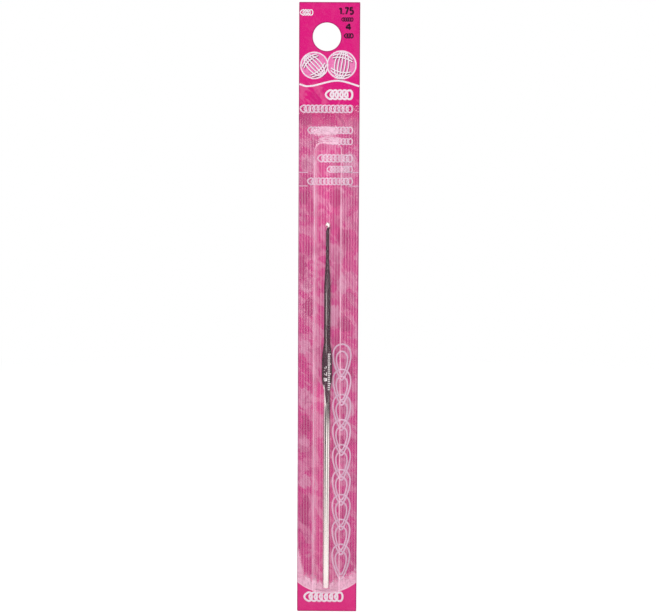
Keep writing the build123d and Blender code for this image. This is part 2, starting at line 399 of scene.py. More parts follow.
def printed_board(looks, film):
    """Coated print on the front, bare board on the back and the cut edges."""
    material, tree = new_material("printed board")
    place, x, y, z = tree.millimetres()
    half = (card_high.y - card_low.y) / 2 / MM
    middle = (card_high.x + card_low.x) / 2 / MM
    half_width = (card_high.x - card_low.x) / 2 / MM

    # Print: solid ground above the strand and below the film, a softer field between them
    film_top, strand = film_high.z / MM, STRAND_Z / MM
    field = tree.smooth(z, film_top - 1.0, film_top - 11.0)
    above_edge = tree.smooth(z - film_bow(film, x), -0.2, 0.6)
    field = field * above_edge
    below = tree.smooth(z, strand + 1.0, strand - 1.0) * above_edge
    colour = tree.mix(field, looks.ground, looks.field)
    colour = tree.mix((1.0 - above_edge) * 0.05, colour, looks.petal)

    # Petals and their veins, laid over each other in soft washes
    wash = tree.streaks(place, (0.17, 0.0, 0.12), 32, 3.0, 0.55, 0.9)
    petals = tree.smooth(wash, 0.51, 0.57)
    veins = tree.streaks(place, (1.5, 0.0, 0.2), 28, 3.0, 0.6, 0.5)
    petals = petals * tree.smooth(veins, 0.36, 0.6, 0.5, 1.0)
    cross_wash = tree.streaks(place, (0.14, 0.0, 0.22), -38, 3.0, 0.58, 1.0)
    cross_petals = tree.smooth(cross_wash, 0.54, 0.6) * tree.smooth(veins, 0.62, 0.4, 0.5, 1.0)
    ragged = (tree.streaks(place, (0.5, 0.0, 0.34), 20, 4.0, 0.62, 0.8) - 0.5) * 4.0
    placed = patches(tree, x, z, ragged, PETALS) * tree.smooth(veins, 0.3, 0.6, 0.6, 1.0)
    pale = larger(larger(petals * 0.34, cross_petals * 0.38), placed * 0.55)
    washed = tree.smooth(field, 0.0, 1.0, 0.06, 1.0) + below * (1.0 - field) * 0.3
    colour = tree.mix(pale * washed, colour, looks.petal)
    deep = tree.streaks(place, (0.2, 0.0, 0.15), 12, 3.0, 0.56, 0.7)
    deep = larger(tree.smooth(deep, 0.51, 0.59) * 0.5, patches(tree, x, z, ragged, DEEP_PATCHES) * 0.9)
    colour = tree.mix(deep * larger(field, below), colour, looks.shade)

    # Printing lines down the field, and the dots of the screen
    lines = wave(x, PRINT_LINE_PITCH)
    wander = tree.streaks(place, (1.1, 0.0, 0.06), 0, 2.0)
    strength = tree.smooth(wander, 0.25, 0.6, 0.35, 1.0) * field
    colour = tree.mix(tree.smooth(lines, 0.0, 0.8) * strength * 0.26, colour, looks.petal)
    colour = tree.mix(tree.smooth(lines, 0.0, -0.8) * strength * 0.38, colour, looks.shade)
    dots = tree.noise(place, 4.0, 2.0)
    colour = tree.mix(tree.smooth(dots, 0.48, 0.66) * (0.05 + field * 0.13), colour, looks.petal)

    # Painted shade darkens the print along the cut edges and round the hang hole
    inward = larger(
        (x - middle).math("ABSOLUTE") - half_width,
        (z - (card_high.z + card_low.z) / 2 / MM).math("ABSOLUTE") - (card_high.z - card_low.z) / 2 / MM,
    )
    hole = looks.hang_hole / 2 / MM - (x * x + z * z).math("SQRT")
    colour = tree.mix(tree.smooth(larger(inward, hole), -0.5, -0.12) * 0.62, colour, looks.cut)

    # Bare board: pulp flecks, pressed fibres and the plies seen on the cut edge
    flecks = tree.noise(place, 2.2, 5.0, 0.7)
    fibres = tree.streaks(place, (0.7, 3.0, 2.6), 8, 4.0, 0.65, 0.4)
    bare = tree.mix(tree.smooth(flecks, 0.42, 0.7) * 0.35, looks.board, PULP_FLECK)
    bare = tree.mix(tree.smooth(fibres, 0.5, 0.75) * 0.3, bare, PALE_FIBRE)
    bare = tree.mix(tree.smooth(wave(y, PLY_PITCH), 0.3, 1.0) * 0.12, bare, PLY_LINE)
    front = tree.smooth(y, -half + 0.05, -half + 0.02)
    colour = tree.mix(front, bare, colour)

    grain = tree.noise(place, 5.0, 3.0, 0.6)
    height = grain * (1.0 - front) + lines * front * 0.25 + grain * front * 0.12
    coated = front * tree.smooth(dots, 0.3, 0.7, -0.42, -0.34)
    principled(tree, {
        "Base Color": colour, "Roughness": coated + tree.smooth(fibres, 0.3, 0.7, 0.8, 0.92),
        "Specular IOR Level": 0.06, "Normal": bump(tree, height, 0.25, 0.00004),
    })
    return material


def ink(name, colour, speck_colour, specks=0.2):
    """Screen-printed ink with a little mottle."""
    material, tree = new_material(name)
    place = tree.millimetres()[0]
    mottle = tree.noise(place, 1.6, 3.0, 0.6)
    fine = tree.noise(place, 9.0, 2.0)
    shade = tree.mix(tree.smooth(mottle, 0.45, 0.7) * specks, colour, speck_colour)
    shade = tree.mix(tree.smooth(fine, 0.55, 0.75) * specks, shade, speck_colour)
    principled(tree, {
        "Base Color": shade, "Roughness": tree.smooth(mottle, 0.3, 0.7, 0.4, 0.5),
        "Specular IOR Level": 0.15, "Normal": bump(tree, fine, 0.15, 0.00002),
    })
    return material


def see_through(tree, looks, haze, frost, fold_whitening_and_highlights, ripple, roughness, gloss_share):
    """Finishes a clear plastic: milky where hazy, white where frosted, glossy where it faces the air."""
    milk = tree.mix(frost, looks.milk, looks.frost)
    cover = smaller(haze + fold_whitening_and_highlights + frost, 0.92)
    body = tree.add(
        "ShaderNodeBsdfPrincipled", None,
        {"Base Color": milk, "Roughness": roughness, "Specular IOR Level": 0.5, "Normal": ripple},
    )
    clear = tree.add("ShaderNodeBsdfTransparent")
    hazy = tree.add("ShaderNodeMixShader", None, {0: cover, 1: clear, 2: body})
    if not gloss_share:
        return hazy
    gloss = tree.add("ShaderNodeBsdfAnisotropic", None, {"Roughness": 0.09, "Normal": ripple})
    rim = tree.add("ShaderNodeFresnel", None, {"IOR": 1.3})
    return tree.add("ShaderNodeMixShader", None, {0: rim * gloss_share, 1: hazy, 2: gloss})


def clear_film(looks):
    """Film over the tunnel: faint haze with fine ribs, whitened near its ends, and white along its folds,
    partly stress-whitening and partly a painted highlight.
    """
    material, tree = new_material("clear film")
    place, x, _, z = tree.millimetres()
    across = x - HOOK_X / MM
    ribs = wave(x, looks.rib_pitch / MM, RIB_PHASE)
    drift = tree.streaks(place, (1.2, 0.0, 0.04), 0, 2.0)
    cloud = tree.streaks(place, (0.3, 0.0, 0.09), 10, 3.0, 0.6, 0.6)
    haze = looks.film_haze * tree.smooth(cloud, 0.3, 0.7, 0.55, 1.5)
    haze = haze * tree.smooth(ribs * tree.smooth(drift, 0.3, 0.65), -1.0, 1.0, 0.78, 1.22)
    haze = haze * below_film_edge(tree, z)

    # Folds: the left wall turns white along two lines, the right foot along one; partly whitened film, partly
    # painted highlight
    tunnel_top = film_high.z / MM - looks.top_seal_length / MM
    along = tree.smooth(z, tunnel_top + 0.4, tunnel_top - 0.4)
    patchy = tree.smooth(tree.streaks(place, (0.5, 0.0, 0.12), 0, 3.0), 0.3, 0.65, 0.45, 1.0)
    foot = looks.foot_half_width / MM
    corner = looks.corner / MM
    beyond_side = larger(across.math("ABSOLUTE") - (foot - corner), 0.0)
    beyond_top = larger(z - (tunnel_top - corner), 0.0)
    from_foot = (beyond_side * beyond_side + beyond_top * beyond_top).math("SQRT") - corner
    folds = larger(tree.band(from_foot, -0.1, 0.16, 0.14), tree.band(across, -foot + 0.85, 0.16, 0.3) * 0.4)
    outside = tree.smooth(tree.add("ShaderNodeNewGeometry", out="Normal").parts()["Y"], 0.02, -0.02)
    fold_whitening_and_highlights = folds * along * patchy * outside * 0.58

    # Frost where the film was pinched at both ends of the tunnel
    scatter = tree.streaks(place, (0.62, 0.0, 0.5), 18, 5.0, 0.72, 1.2)
    rise = z - film_bow(looks, x)
    torn = (scatter - 0.5) * 8.0
    lower = tree.smooth(rise + torn, 6.0, 2.6) * tree.smooth(scatter, 0.36, 0.6, 1.0, 0.66)
    # Painted highlight: a white line along the film's curved bottom edge
    lower = larger(lower, tree.band(rise, 0.25, 0.12, 0.3) * 1.1)
    # Over the handle the film stays clear
    below_hook = tree.smooth(z, hook_low.z / MM + 0.3, hook_low.z / MM - 0.3)
    lower = lower * larger(tree.smooth(across.math("ABSOLUTE"), 0.9, 1.7, 0.2, 1.0), below_hook)
    wedge = tree.smooth(rise + torn + (across + 9.6) * 3.6, 14.0, 9.5) * tree.smooth(across, -4.4, -6.0)
    upper = patches(tree, x, z, torn * 0.16, FROST_ABOVE_TUNNEL)
    streaks = tree.streaks(place, (0.5, 0.0, 1.7), -14, 4.0, 0.65, 0.6)
    upper = upper * tree.smooth(streaks, 0.38, 0.6, 0.25, 1.0)
    frost = larger(larger(lower * 0.62, wedge * 0.42), upper * 0.56) * outside

    ripples = tree.streaks(place, (0.5, 0.0, 0.12), 4, 3.0, 0.55, 0.4)
    height = ripples + scatter * frost * 1.2 + ribs * 0.05
    ripple = bump(tree, height, 0.5, 0.0003)
    roughness = tree.smooth(frost, 0.0, 0.4, 0.2, 0.55)
    surface(tree, see_through(tree, looks, haze, frost, fold_whitening_and_highlights, ripple, roughness, 0.5))
    return material


def below_film_edge(tree, z):
    """Haze builds up down the film from its clear upper edge."""
    film_top = film_high.z / MM
    return tree.smooth(z, film_top - 0.1, film_top - 12.0, 0.1, 1.0)


def bow_circle(looks):
    """Radius and middle of the curve along the film's lower edge."""
    half = (film_high.x - film_low.x) / 2
    return (half**2 + looks.edge_bow**2) / (2 * looks.edge_bow), (film_high.x + film_low.x) / 2


def film_bow(looks, x):
    """Height of the film's lower edge across the card, in millimetres, for a material."""
    radius, middle = bow_circle(looks)
    offset = x - middle / MM
    drop = ((radius / MM) ** 2 - offset * offset).math("SQRT")
    return (film_low.z + radius) / MM - drop


def bow_height(looks, x, lowest):
    """The same height in metres, for a mesh whose lowest point is given."""
    radius, middle = bow_circle(looks)
    return lowest + radius - math.sqrt(radius**2 - (x - middle) ** 2)


def heat_seal(looks, name, whitened):
    """Film welded to the print: nearly clear down the sides, clouded across the ends."""
    material, tree = new_material(name)
    place, x, _, z = tree.millimetres()
    crinkle = tree.streaks(place, (0.9, 0.0, 0.55), -20, 4.0, 0.65, 0.8)
    ribs = wave(x, looks.rib_pitch / MM, RIB_PHASE)
    haze = looks.seal_haze * tree.smooth(ribs, -1.0, 1.0, 0.7, 1.3)
    haze = haze * below_film_edge(tree, z)
    bubbles = tree.add("ShaderNodeTexVoronoi", {"feature": "F1"}, {"Vector": place, "Scale": 0.9})
    specks = tree.smooth(bubbles, 0.16, 0.08) * 0.12
    frost = (tree.smooth(crinkle, 0.5, 0.72) + specks) * whitened
    ripple = bump(tree, crinkle + ribs * 0.05, 0.4, 0.0002)
    roughness = tree.smooth(crinkle, 0.3, 0.7, 0.25, 0.4)
    surface(tree, see_through(tree, looks, haze, frost, 0.0, ripple, roughness, 0.0))
    return material


def plated_steel(sizes, axis):
    """Bright plating with painted dark reflections above and down the handle, painted highlights on the shaft
    and head, painted shade in the throat, and drawing lines along the wire.

    Each smooth(station, ...) gives the millimetres from the tip over which one tone turns into the next.
    """
    material, tree = new_material("plated steel")
    place, x, y, z = tree.millimetres()
    station = (axis.z / MM) - z
    across = x - axis.x / MM
    drawn = tree.streaks(place, (9.0, 9.0, 0.12), 0, 4.0, 0.6)
    clouds = tree.streaks(place, (0.9, 0.9, 0.2), 0, 3.0, 0.6)
    on_handle = (60.0, 66.0)
    forward = y - axis.y / MM
    from_axis = (across * across + forward * forward).math("SQRT")
    # Painted dark reflection over the neck, shaft and thumb rest, ending with a ragged edge at the handle
    dark_reflection = tree.smooth(station + (clouds - 0.5) * 1.5, 57.0, 55.4)
    # The painted dark reflection reaches a little further on the lower facet of each flat and on the right
    # side beside it
    pressed = tree.smooth(from_axis, 1.1, 1.07) * tree.smooth(station, 64.0, 63.0)
    right = tree.smooth(across, -0.34, -0.1) * tree.smooth(station, 76.0, 63.0)
    dark_reflection = larger(dark_reflection, larger(pressed, right * 0.9) * tree.smooth(station, 40.0, 42.0))
    # Painted dark reflections down the handle: a line right of the axis, both edges, and a band on the left
    # flank
    seam_dark_reflection = tree.band(across, 0.3, 0.06, 0.16) * tree.smooth(station, *on_handle)
    dark_reflection = larger(dark_reflection, seam_dark_reflection * tree.smooth(station, 124.0, 92.0) * 0.85)
    rim = tree.smooth(across.math("ABSOLUTE"), 0.76, 0.98) * tree.smooth(station, 62.0, 66.0)
    flank_dark_reflection = tree.band(across, -0.43, 0.15, 0.18) * tree.smooth(station, *on_handle)
    dark_reflection = larger(dark_reflection, larger(rim * 0.5, flank_dark_reflection * tree.smooth(station, 126.0, 74.0) * 0.9))
    # Painted highlights, where the painted dark reflection is lifted: along the shaft, down the proud left
    # edge, and on the head
    highlight_streak = tree.band(across, -0.3, 0.1, 0.14) * tree.smooth(station, 18.0, 26.0)
    highlight_streak = highlight_streak * tree.smooth(station, 47.0, 40.0) * tree.smooth(clouds, 0.35, 0.6) * 0.34
    barb = tree.smooth(across, -0.3, -0.45) * tree.smooth(station, 3.0, 2.4)
    head = larger(tree.smooth(station, 2.0, 1.7), barb)
    # Painted shade inside the throat
    throat = tree.smooth(from_axis, 0.8, 0.7) * tree.smooth(station, 0.8, 0.95)
    dark_reflection = larger(dark_reflection * (1.0 - larger(highlight_streak, head)), throat * tree.smooth(station, 3.4, 3.0))
    colour = tree.mix(dark_reflection, sizes.bright, sizes.dark)
    colour = tree.mix(tree.smooth(drawn, 0.5, 0.7) * 0.16, colour, DRAWING_LINE)
    wear = tree.noise(place, 3.0, 4.0, 0.7)
    roughness = tree.smooth(drawn, 0.3, 0.7, 0.16, 0.3) + tree.smooth(wear, 0.5, 0.75) * 0.12
    principled(tree, {
        "Base Color": colour, "Metallic": 1.0, "Roughness": roughness,
        "Normal": bump(tree, drawn + wear * 0.3, 0.22, 0.00002),
    })
    return material


def stamped_metal(sizes):
    """Pale, matt metal in the bottom of the stamped marks."""
    material, tree = new_material("stamped metal")
    grit = tree.noise(tree.millimetres()[0], 14.0, 3.0, 0.6)
    colour = tree.mix(tree.smooth(grit, 0.45, 0.7) * 0.4, sizes.mark, GRIT)
    principled(tree, {
        "Base Color": colour, "Metallic": 0.6, "Roughness": tree.smooth(grit, 0.3, 0.7, 0.45, 0.6),
        "Normal": bump(tree, grit, 0.3, 0.00001),
    })
    return material


# ---- Meshes ----
def new_object(name, mesh):
    made = bpy.data.objects.new(name, mesh)
    bpy.context.scene.collection.objects.link(made)
    return made


def mesh_of(maker, name):
    """The mesh that a BMesh has built up; the BMesh goes."""
    mesh = bpy.data.meshes.new(name)
    maker.to_mesh(mesh)
    maker.free()
    return mesh


def evaluated_mesh(temporary, name):
    """The final mesh of an object with modifiers or of a curve; the temporary object goes."""
    bpy.context.view_layer.update()
    graph = bpy.context.evaluated_depsgraph_get()
    mesh = bpy.data.meshes.new_from_object(temporary.evaluated_get(graph), depsgraph=graph)
    mesh.name = name
    bpy.data.objects.remove(temporary)
    return mesh


def joined(name, meshes):
    """One mesh from several; each keeps its own material."""
    whole = bmesh.new()
    materials = []
    for mesh in meshes:
        before = len(whole.faces)
        whole.from_mesh(mesh)
        whole.faces.ensure_lookup_table()
        used = list(mesh.materials)
        for index in range(before, len(whole.faces)):
            face = whole.faces[index]
            material = used[min(face.material_index, len(used) - 1)]
            if material not in materials:
                materials.append(material)
            face.material_index = materials.index(material)
    result = mesh_of(whole, name)
    for material in materials:
        result.materials.append(material)
    return result


def finished(name, mesh, body, replaces=(), smooth_angle=None):
    """Puts a finished mesh in the scene as a piece that rides on a body."""
    if smooth_angle is not None:
        mesh.shade_smooth()
        mesh.set_sharp_from_angle(angle=math.radians(smooth_angle))
    piece = new_object(name, mesh)
    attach(piece, body)
    if replaces:
        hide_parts(*replaces)


def flat_shape(name, outlines, thickness, edge=0.0, edge_steps=2):
    """A flat shape with holes, drawn on the card's plane as x and z, centred on y = 0."""
    curve = bpy.data.curves.new(name, "CURVE")
    curve.dimensions = "2D"
    curve.fill_mode = "BOTH"
    curve.extrude = thickness / 2 - edge
    curve.bevel_depth = edge
    curve.bevel_resolution = edge_steps
    curve.offset = -edge
    for points in outlines:
        spline = curve.splines.new("POLY")
        spline.points.add(len(points) - 1)
        for point, (x, z) in zip(spline.points, points):
            point.co = (x, z, 0.0, 1.0)
        spline.use_cyclic_u = True
    mesh = evaluated_mesh(new_object(name, curve), name)
    mesh.transform(DRAWING_TO_CARD)
    return mesh


def ring(centre_x, centre_z, radius_x, radius_z, count):
    return [
        (centre_x + radius_x * math.cos(2 * math.pi * i / count),
         centre_z + radius_z * math.sin(2 * math.pi * i / count))
        for i in range(count)
    ]


def rounded_box(low, high, radius, steps=6):
    """Corners (x, z) of an upright rectangle with rounded corners."""
    points = []
    corners = ((high.x, high.z, 0), (low.x, high.z, 90), (low.x, low.z, 180), (high.x, low.z, 270))
    for corner_x, corner_z, start in corners:
        inward_x = corner_x - math.copysign(radius, corner_x - (low.x + high.x) / 2)
        inward_z = corner_z - math.copysign(radius, corner_z - (low.z + high.z) / 2)
        for step in range(steps + 1):
            angle = math.radians(start + 90 * step / steps)
            points.append((inward_x + radius * math.cos(angle), inward_z + radius * math.sin(angle)))
    return points


def shell(name, columns, rows, front, back):
    """A closed sheet over the card. Each row gives its height up the card at any x."""
    maker = bmesh.new()
    near, far = (
        [[maker.verts.new((x, depth(x, row(x)), row(x))) for x in columns] for row in rows]
        for depth in (front, back)
    )
    last_row, last_column = len(rows) - 1, len(columns) - 1
    for r in range(last_row):
        for c in range(last_column):
            maker.faces.new((near[r][c], near[r][c + 1], near[r + 1][c + 1], near[r + 1][c]))
            maker.faces.new((far[r][c], far[r + 1][c], far[r + 1][c + 1], far[r][c + 1]))
    for c in range(last_column):
        for r, flip in ((0, True), (last_row, False)):
            quad = (near[r][c], near[r][c + 1], far[r][c + 1], far[r][c])
            maker.faces.new(quad[::-1] if flip else quad)
    for r in range(last_row):
        for c, flip in ((0, False), (last_column, True)):
            quad = (near[r][c], near[r + 1][c], far[r + 1][c], far[r][c])
            maker.faces.new(quad[::-1] if flip else quad)
    bmesh.ops.recalc_face_normals(maker, faces=maker.faces)
    return mesh_of(maker, name)


def level_row(z):
    return lambda x: z


def soft_min(first, second, reach):
    """The smaller of two heights, rounded over reach where they cross."""
    blend = max(reach - abs(first - second), 0.0) / reach
    return min(first, second) - blend * blend * reach / 4


def soft_max(first, second, reach):
    return -soft_min(-first, -second, reach)


def spread(low, high, step, *crowded):
    """Places from low to high about step apart, closer together near each crowded place."""
    places = [low, high]
    place = low
    while place < high:
        near = min((abs(place - c) for c in crowded), default=step * 10)
        place += max(step * 0.22, min(step, step * 0.22 + near * 0.45))
        places.append(min(place, high))
    return sorted(set(places))


# ---- Geometry Nodes trees ----
FLOAT, WHOLE, MATERIAL = "NodeSocketFloat", "NodeSocketInt", "NodeSocketMaterial"


def new_geometry_tree(name, sockets):
    """An empty Geometry Nodes tree with named inputs, and its Group Input."""
    group = bpy.data.node_groups.new(name, "GeometryNodeTree")
    group.is_modifier = True
    group.interface.new_socket("Geometry", in_out="INPUT", socket_type="NodeSocketGeometry")
    for socket_name, kind in sockets:
        group.interface.new_socket(socket_name, in_out="INPUT", socket_type=kind)
    group.interface.new_socket("Geometry", in_out="OUTPUT", socket_type="NodeSocketGeometry")
    tree = Tree(group)
    return group, tree, tree.add("NodeGroupInput")


def finish_geometry(tree, geometry, inputs):
    """Stands the drawing up against the card, realises it and gives it its material."""
    upright = tree.add(
        "GeometryNodeTransform", None, {"Geometry": geometry, "Rotation": (math.radians(90), 0.0, 0.0)}
    )
    real = tree.add("GeometryNodeRealizeInstances", None, {"Geometry": upright})
    painted = tree.add("GeometryNodeSetMaterial", None, {"Geometry": real, "Material": inputs["Material"]})
    tree.add("NodeGroupOutput", None, {"Geometry": painted})


def strip_along(tree, curve, inputs):
    """A flat strip of ink that follows a curve."""
    section = tree.add(
        "GeometryNodeCurvePrimitiveQuadrilateral", {"mode": "RECTANGLE"},
        {"Width": inputs["Strip Width"], "Height": inputs["Ink Thickness"]},
    )
    return tree.add(
        "GeometryNodeCurveToMesh", None, {"Curve": curve, "Profile Curve": section, "Fill Caps": True}
    )


def strip_tree():
    """Flat strips with rounded corners along the edges of the input mesh."""
    group, tree, inputs = new_geometry_tree(
        "Strips",
        (("Strip Width", FLOAT), ("Corner Radius", FLOAT), ("Ink Thickness", FLOAT), ("Material", MATERIAL)),
    )
    path = tree.add("GeometryNodeMeshToCurve", None, {"Mesh": inputs["Geometry"]})
    eased = tree.add(
        "GeometryNodeFilletCurve", {"mode": "POLY"},
        {"Curve": path, "Count": 5, "Radius": inputs["Corner Radius"], "Limit Radius": True},
    )
    upright = tree.add("GeometryNodeSetCurveNormal", {"mode": "Z_UP"}, {"Curve": eased})
    finish_geometry(tree, strip_along(tree, upright, inputs), inputs)
    return group


def stitch_tree():
    """Chain stitches: a drop-shaped loop at every step along the edges of the input mesh."""
    group, tree, inputs = new_geometry_tree(
        "Chain stitches",
        (("Stitch Length", FLOAT), ("Stitch Width", FLOAT), ("Stitch Step", FLOAT), ("Pinch", FLOAT),
         ("Loop Points", WHOLE), ("Strip Width", FLOAT), ("Ink Thickness", FLOAT),
         ("Material", MATERIAL)),
    )
    path = tree.add("GeometryNodeMeshToCurve", None, {"Mesh": inputs["Geometry"]})
    places = tree.add(
        "GeometryNodeCurveToPoints", {"mode": "LENGTH"}, {"Curve": path, "Length": inputs["Stitch Step"]}
    )
    circle = tree.add(
        "GeometryNodeCurvePrimitiveCircle", {"mode": "RADIUS"},
        {"Resolution": inputs["Loop Points"], "Radius": 1.0},
    )
    position = tree.add("GeometryNodeInputPosition")
    parts = tree.add("ShaderNodeSeparateXYZ", None, {0: position})
    taper = (parts["X"] - 1.0) * inputs["Pinch"] + 1.08
    shaped = tree.add(
        "ShaderNodeCombineXYZ", None,
        {"X": parts["X"] * inputs["Stitch Length"] * 0.5,
         "Y": parts["Y"] * taper * inputs["Stitch Width"] * 0.5},
    )
    loop = tree.add("GeometryNodeSetPosition", None, {"Geometry": circle, "Position": shaped})
    level = tree.add("GeometryNodeSetCurveNormal", {"mode": "Z_UP"}, {"Curve": loop})
    stitch = strip_along(tree, level, inputs)
    aim = tree.add(
        "FunctionNodeAlignRotationToVector", {"axis": "X", "pivot_axis": "Z"},
        {"Vector": places["Tangent"]},
    )
    row = tree.add(
        "GeometryNodeInstanceOnPoints", None, {"Points": places, "Instance": stitch, "Rotation": aim}
    )
    index = tree.add("GeometryNodeInputIndex")
    over = tree.add("ShaderNodeCombineXYZ", None, {"Z": index.math("MODULO", 2.0) * inputs["Ink Thickness"]})
    row = tree.add("GeometryNodeTranslateInstances", None, {"Instances": row, "Translation": over})
    finish_geometry(tree, row, inputs)
    return group


def winding_tree(turns):
    """Strands wound on a ball: bundles of arcs, each bundle turned about the ball's centre."""
    group, tree, inputs = new_geometry_tree(
        "Windings",
        (("Radius", FLOAT), ("Strands", WHOLE), ("Side Strands", WHOLE), ("Strip Width", FLOAT),
         ("Ink Thickness", FLOAT), ("Material", MATERIAL)),
    )
    bundles = []
    for layer, (strands, angle, sweep, narrow, wide) in enumerate(turns):
        arc = tree.add(
            "GeometryNodeCurveArc", {"mode": "RADIUS"},
            {"Resolution": 14, "Radius": inputs["Radius"], "Start Angle": -math.radians(sweep) / 2,
             "Sweep Angle": math.radians(sweep)},
        )
        line = tree.add(
            "GeometryNodeMeshLine", {"mode": "OFFSET"}, {"Count": inputs[strands], "Offset": (0, 0, 0)}
        )
        index = tree.add("GeometryNodeInputIndex")
        share = index / (inputs[strands] - 1.0)
        squeeze = tree.add(
            "ShaderNodeCombineXYZ", None, {"X": share * (wide - narrow) + narrow, "Y": 1.0, "Z": 1.0}
        )
        bundle = tree.add(
            "GeometryNodeInstanceOnPoints", None, {"Points": line, "Instance": arc, "Scale": squeeze}
        )
        step = tree.add("ShaderNodeCombineXYZ", None, {"Z": share * inputs["Ink Thickness"] * 0.6})
        bundle = tree.add("GeometryNodeTranslateInstances", None, {"Instances": bundle, "Translation": step})
        real = tree.add("GeometryNodeRealizeInstances", None, {"Geometry": bundle})
        bundles.append(tree.add(
            "GeometryNodeTransform", None,
            {"Geometry": real, "Rotation": (0.0, 0.0, math.radians(angle)),
             "Translation": tree.add(
                 "ShaderNodeCombineXYZ", None, {"Z": inputs["Ink Thickness"] * (1.7 * layer)})},
        ))
    gathered = tree.add("GeometryNodeJoinGeometry", None, {"Geometry": bundles[::-1]})
    level = tree.add("GeometryNodeSetCurveNormal", {"mode": "Z_UP"}, {"Curve": gathered})
    finish_geometry(tree, strip_along(tree, level, inputs), inputs)
    return group


def drawn(group, name, lines, **values):
    """Runs a Geometry Nodes tree on lines of points (x, z) and returns the plain mesh."""
    path = bpy.data.meshes.new(name)
    points, edges = [], []
    for line in lines:
        start = len(points)
        points += [(x, z, 0.0) for x, z in line]
        edges += [(start + i, start + i + 1) for i in range(len(line) - 1)]
    path.from_pydata(points, edges, [])
    temporary = new_object(name, path)
    modifier = temporary.modifiers.new("Drawing", "NODES")
    modifier.node_group = group
    identifiers = {
        item.name: item.identifier
        for item in group.interface.items_tree
        if item.item_type == "SOCKET" and item.in_out == "INPUT"
    }
    for value_name, value in values.items():
        modifier[identifiers[value_name.replace("_", " ").title()]] = value
    return evaluated_mesh(temporary, name)


FIGURES = {
    "1": ((0.0, 0.72), (0.3, 1.0), (0.3, 0.0)),
    "4": ((0.46, 0.0), (0.46, 1.0), (0.0, 0.3), (0.66, 0.3)),
    "5": ((0.56, 1.0), (0.1, 1.0), (0.06, 0.56), (0.3, 0.62), (0.52, 0.52), (0.6, 0.32), (0.52, 0.1),
          (0.28, 0.0), (0.0, 0.08)),
    "7": ((0.0, 1.0), (0.6, 1.0), (0.2, 0.0)),
    ".": ((0.1, -0.06), (0.1, 0.12)),
}
FIGURE_ADVANCE = {"1": 0.62, ".": 0.42}
WIDE_ADVANCE = 0.92


def figures(text, x, z, width, height):
    """Strokes of plain figures with their lower left corner at x, z."""
    strokes, pen = [], 0.0
    for letter in text:
        strokes.append([(pen + across, up) for across, up in FIGURES[letter]])
        pen += FIGURE_ADVANCE.get(letter, WIDE_ADVANCE)
    total = max(across for stroke in strokes for across, _ in stroke)
    return [[(x + across / total * width, z + up * height) for across, up in stroke] for stroke in strokes]


# ---- Operators ----
STRAND_Z = -0.01565
STRAND_STEPS = 24

# Drawings on the card, in millimetres across and up from the hang hole's centre
YARN_BALLS = ((-4.2, -9.6, 4.9), (5.0, -9.4, 5.2))  # across, up, radius
WINDINGS = (
    ("Strands", 42, 170, -0.5, 0.5), ("Side Strands", -48, 92, 0.52, 0.76),
    ("Side Strands", 132, 92, 0.52, 0.76),
)
RULES = [((a * MM, z * MM), (b * MM, z * MM)) for z in (-45.7, -50.3) for a, b in ((-9.2, -6.3), (7.7, 10.9))]
# Rows of stitches: left end, right end, height of the row's middle, stitch width
STITCH_ROWS = (
    (-0.3, 8.7, -19.4, 3.5), (-8.9, 8.7, -24.2, 2.8), (-6.3, 8.8, -31.4, 2.5),
    (1.1, 8.8, -35.2, 2.3), (-2.9, 8.8, -40.9, 2.8), (0.3, 8.8, -44.6, 2.4),
    (-6.3, 8.9, -48.7, 2.6), (-6.9, 6.4, -192.8, 3.6),
)
DARK_ROWS = ((4.95, 8.75, 5.8, 1.3), (5.9, 8.8, 0.35, 1.6))
CORNER_ROW = (-9.0, -4.8, 8.1, 2.1)
# Numbers: lower left corner across and up, width and height
SIZE_NUMBERS = (("1.75", 4.2, 7.6, 4.6, 2.1), ("4", 6.4, 2.4, 1.7, 2.05))
# Widths of the drawn lines
STRAND_WIDTH = NUMBER_WIDTH = 0.62 * MM
RULE_WIDTH, CHAIN_LINE_WIDTH, WOUND_WIDTH, RIM_WIDTH = 0.3 * MM, 0.56 * MM, 0.42 * MM, 0.4 * MM
# Outlined chain: where it runs, and its stitches' length, width, number and step
CHAIN_X, CHAIN_LOW, CHAIN_HIGH = 5.7, -180.4, -110.6
CHAIN_STITCH, CHAIN_WIDTH, CHAIN_STEPS = 12.4, 7.7, 8
# Each of the chain's two lines: its share of the stitch's length and width, its drop and its pinch
CHAIN_LINES = ((1.0, 1.0, 0.0, 0.36), (0.66, 0.6, 0.35, 0.3))
# Steps are cut a little short, so that the last stitch isn't lost
STEP_SLACK = 0.999


def ink_lines(strips, name, lines, width, thick, material, corner=0.0):
    """Flat strips of ink along lines of points (x, z)."""
    return drawn(
        strips, name, lines, strip_width=width, corner_radius=corner, ink_thickness=thick, material=material
    )


def laid_on_card(name, meshes, thick):
    """Joins drawings of ink and lays them on the card's face as one piece."""
    whole = joined(name, meshes)
    whole.transform(Matrix.Translation((0.0, card_low.y - thick / 2, 0.0)))
    finished(name, whole, PACK)


def stitch_row(stitches, place, strip_share, thick, material):
    """A level row of chain stitches. Its place is its two ends, height and width in millimetres."""
    start, end, z, width = place
    stitch = width * 0.74
    count = max(1, round((end - start - stitch) / (stitch * 0.68)))
    step = (end - start - stitch) / count
    return drawn(
        stitches, "row", [[((start + stitch / 2) * MM, z * MM), ((end - stitch / 2) * MM, z * MM)]],
        stitch_length=stitch * MM, stitch_width=width * MM, stitch_step=step * MM * STEP_SLACK, pinch=0.26,
        strip_width=width * strip_share * MM, loop_points=24, ink_thickness=thick, material=material,
    )


